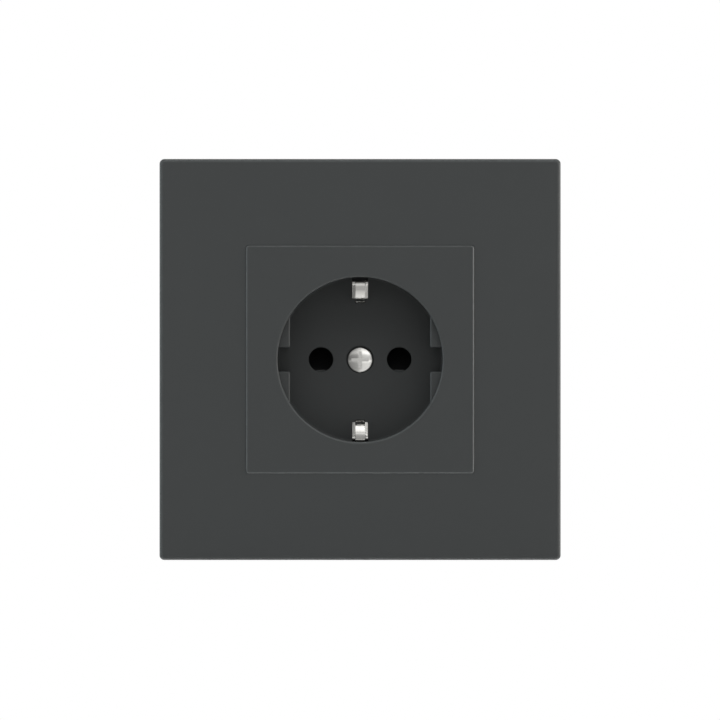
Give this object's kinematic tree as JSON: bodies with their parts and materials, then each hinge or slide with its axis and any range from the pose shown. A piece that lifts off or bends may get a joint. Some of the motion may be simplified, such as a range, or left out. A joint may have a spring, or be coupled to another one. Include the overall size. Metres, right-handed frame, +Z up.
{
  "type": "wall socket outlet",
  "caption": "Square flush-mounted wall socket outlet with a recessed round well, pin holes, side earth contacts and a claw-mounted insert behind it.",
  "frame": {"origin": "centre of the outlet on the wall's surface, where the wall box holds it", "axes": "+Y points into the wall and the front faces -Y, +Z is up, +X is right seen from the front"},
  "size_m": [0.0974, 0.0427, 0.0974],
  "materials": {
    "cover_plastic": "matt, very fine texture",
    "insert_plastic": "matt thermoset",
    "button_plastic": "satin",
    "zinc_steel": "zinc plated",
    "nickel_steel": "nickel plated",
    "spring_steel": "plain",
    "brass": "plain"
  },
  "bodies": {
    "insert": {"cover_frame": "cover_plastic", "centre_plate": "cover_plastic", "centre_screw": "nickel_steel", "support_ring": "zinc_steel", "ring_rivet_upper_left": "zinc_steel", "ring_rivet_upper_right": "zinc_steel", "ring_rivet_lower_left": "zinc_steel", "ring_rivet_lower_right": "zinc_steel", "strap_rivet_left": "nickel_steel", "strap_rivet_right": "nickel_steel", "socket_base": "insert_plastic", "rear_cover": "insert_plastic", "earth_strap": "nickel_steel", "line_contact": "brass", "neutral_contact": "brass", "clamp_spring_line": "spring_steel", "clamp_spring_neutral": "spring_steel", "clamp_spring_earth": "spring_steel", "shutter_spring_left": "spring_steel", "shutter_spring_right": "spring_steel"},
    "earth_spring_upper": {"earth_spring_upper": "nickel_steel"},
    "earth_spring_lower": {"earth_spring_lower": "nickel_steel"},
    "release_button_line": {"release_button_line": "button_plastic"},
    "release_button_neutral": {"release_button_neutral": "button_plastic"},
    "release_button_earth": {"release_button_earth": "button_plastic"},
    "shutter": {"shutter": "insert_plastic"},
    "claw_screw_left": {"claw_screw_left": "zinc_steel"},
    "claw_screw_right": {"claw_screw_right": "zinc_steel"},
    "claw_nut_left": {"claw_nut_left": "brass"},
    "claw_nut_right": {"claw_nut_right": "brass"},
    "claw_left": {"claw_left": "zinc_steel"},
    "claw_right": {"claw_right": "zinc_steel"}
  },
  "joints": [
    {"name": "earth_spring_upper_flex", "type": "hinge", "parent": "insert", "child": "earth_spring_upper", "pos_m": [0, 0.01115, 0.0142], "axis": [-1, 0, 0], "range_deg": [0, 5], "stiffness_Nm_per_rad": 1.5, "springref_deg": -1.15},
    {"name": "earth_spring_lower_flex", "type": "hinge", "parent": "insert", "child": "earth_spring_lower", "pos_m": [0, 0.01115, -0.0142], "axis": [1, 0, 0], "range_deg": [0, 5], "stiffness_Nm_per_rad": 1.5, "springref_deg": -1.15},
    {"name": "shutter_slide", "type": "slide", "parent": "insert", "child": "shutter", "axis": [0, 0, -1], "range_m": [0, 0.0058], "stiffness_N_per_m": 60, "springref_m": -0.004, "deforming": ["shutter_spring_left", "shutter_spring_right"]},
    {"name": "release_button_line_press", "type": "slide", "parent": "insert", "child": "release_button_line", "axis": [0, -1, 0], "range_m": [0, 0.0016], "stiffness_N_per_m": 800, "springref_m": -0.001},
    {"name": "release_button_neutral_press", "type": "slide", "parent": "insert", "child": "release_button_neutral", "axis": [0, -1, 0], "range_m": [0, 0.0016], "stiffness_N_per_m": 800, "springref_m": -0.001},
    {"name": "release_button_earth_press", "type": "slide", "parent": "insert", "child": "release_button_earth", "axis": [0, -1, 0], "range_m": [0, 0.0016], "stiffness_N_per_m": 800, "springref_m": -0.001},
    {"name": "claw_screw_left_turn", "type": "hinge", "parent": "insert", "child": "claw_screw_left", "pos_m": [-0.0247, 0, 0], "axis": [0, 1, 0], "range_deg": [0, 5040]},
    {"name": "claw_nut_left_travel", "type": "slide", "parent": "insert", "child": "claw_nut_left", "axis": [0, -1, 0], "range_m": [0, 0.007]},
    {"name": "claw_left_spread", "type": "hinge", "parent": "claw_nut_left", "child": "claw_left", "pos_m": [-0.0247, 0.017, 0], "axis": [0, 0, 1], "range_deg": [0, 20]},
    {"name": "claw_screw_right_turn", "type": "hinge", "parent": "insert", "child": "claw_screw_right", "pos_m": [0.0247, 0, 0], "axis": [0, 1, 0], "range_deg": [0, 5040]},
    {"name": "claw_nut_right_travel", "type": "slide", "parent": "insert", "child": "claw_nut_right", "axis": [0, -1, 0], "range_m": [0, 0.007]},
    {"name": "claw_right_spread", "type": "hinge", "parent": "claw_nut_right", "child": "claw_right", "pos_m": [0.0247, 0.017, 0], "axis": [0, 0, -1], "range_deg": [0, 20]}
  ],
  "couplings": [
    {"joint": "claw_screw_left_turn", "follows": "claw_nut_left_travel", "rad_per_m": 12566},
    {"joint": "claw_left_spread", "follows": "claw_nut_left_travel", "rad_per_m": 49.86},
    {"joint": "claw_screw_right_turn", "follows": "claw_nut_right_travel", "rad_per_m": 12566},
    {"joint": "claw_right_spread", "follows": "claw_nut_right_travel", "rad_per_m": 49.86}
  ]
}
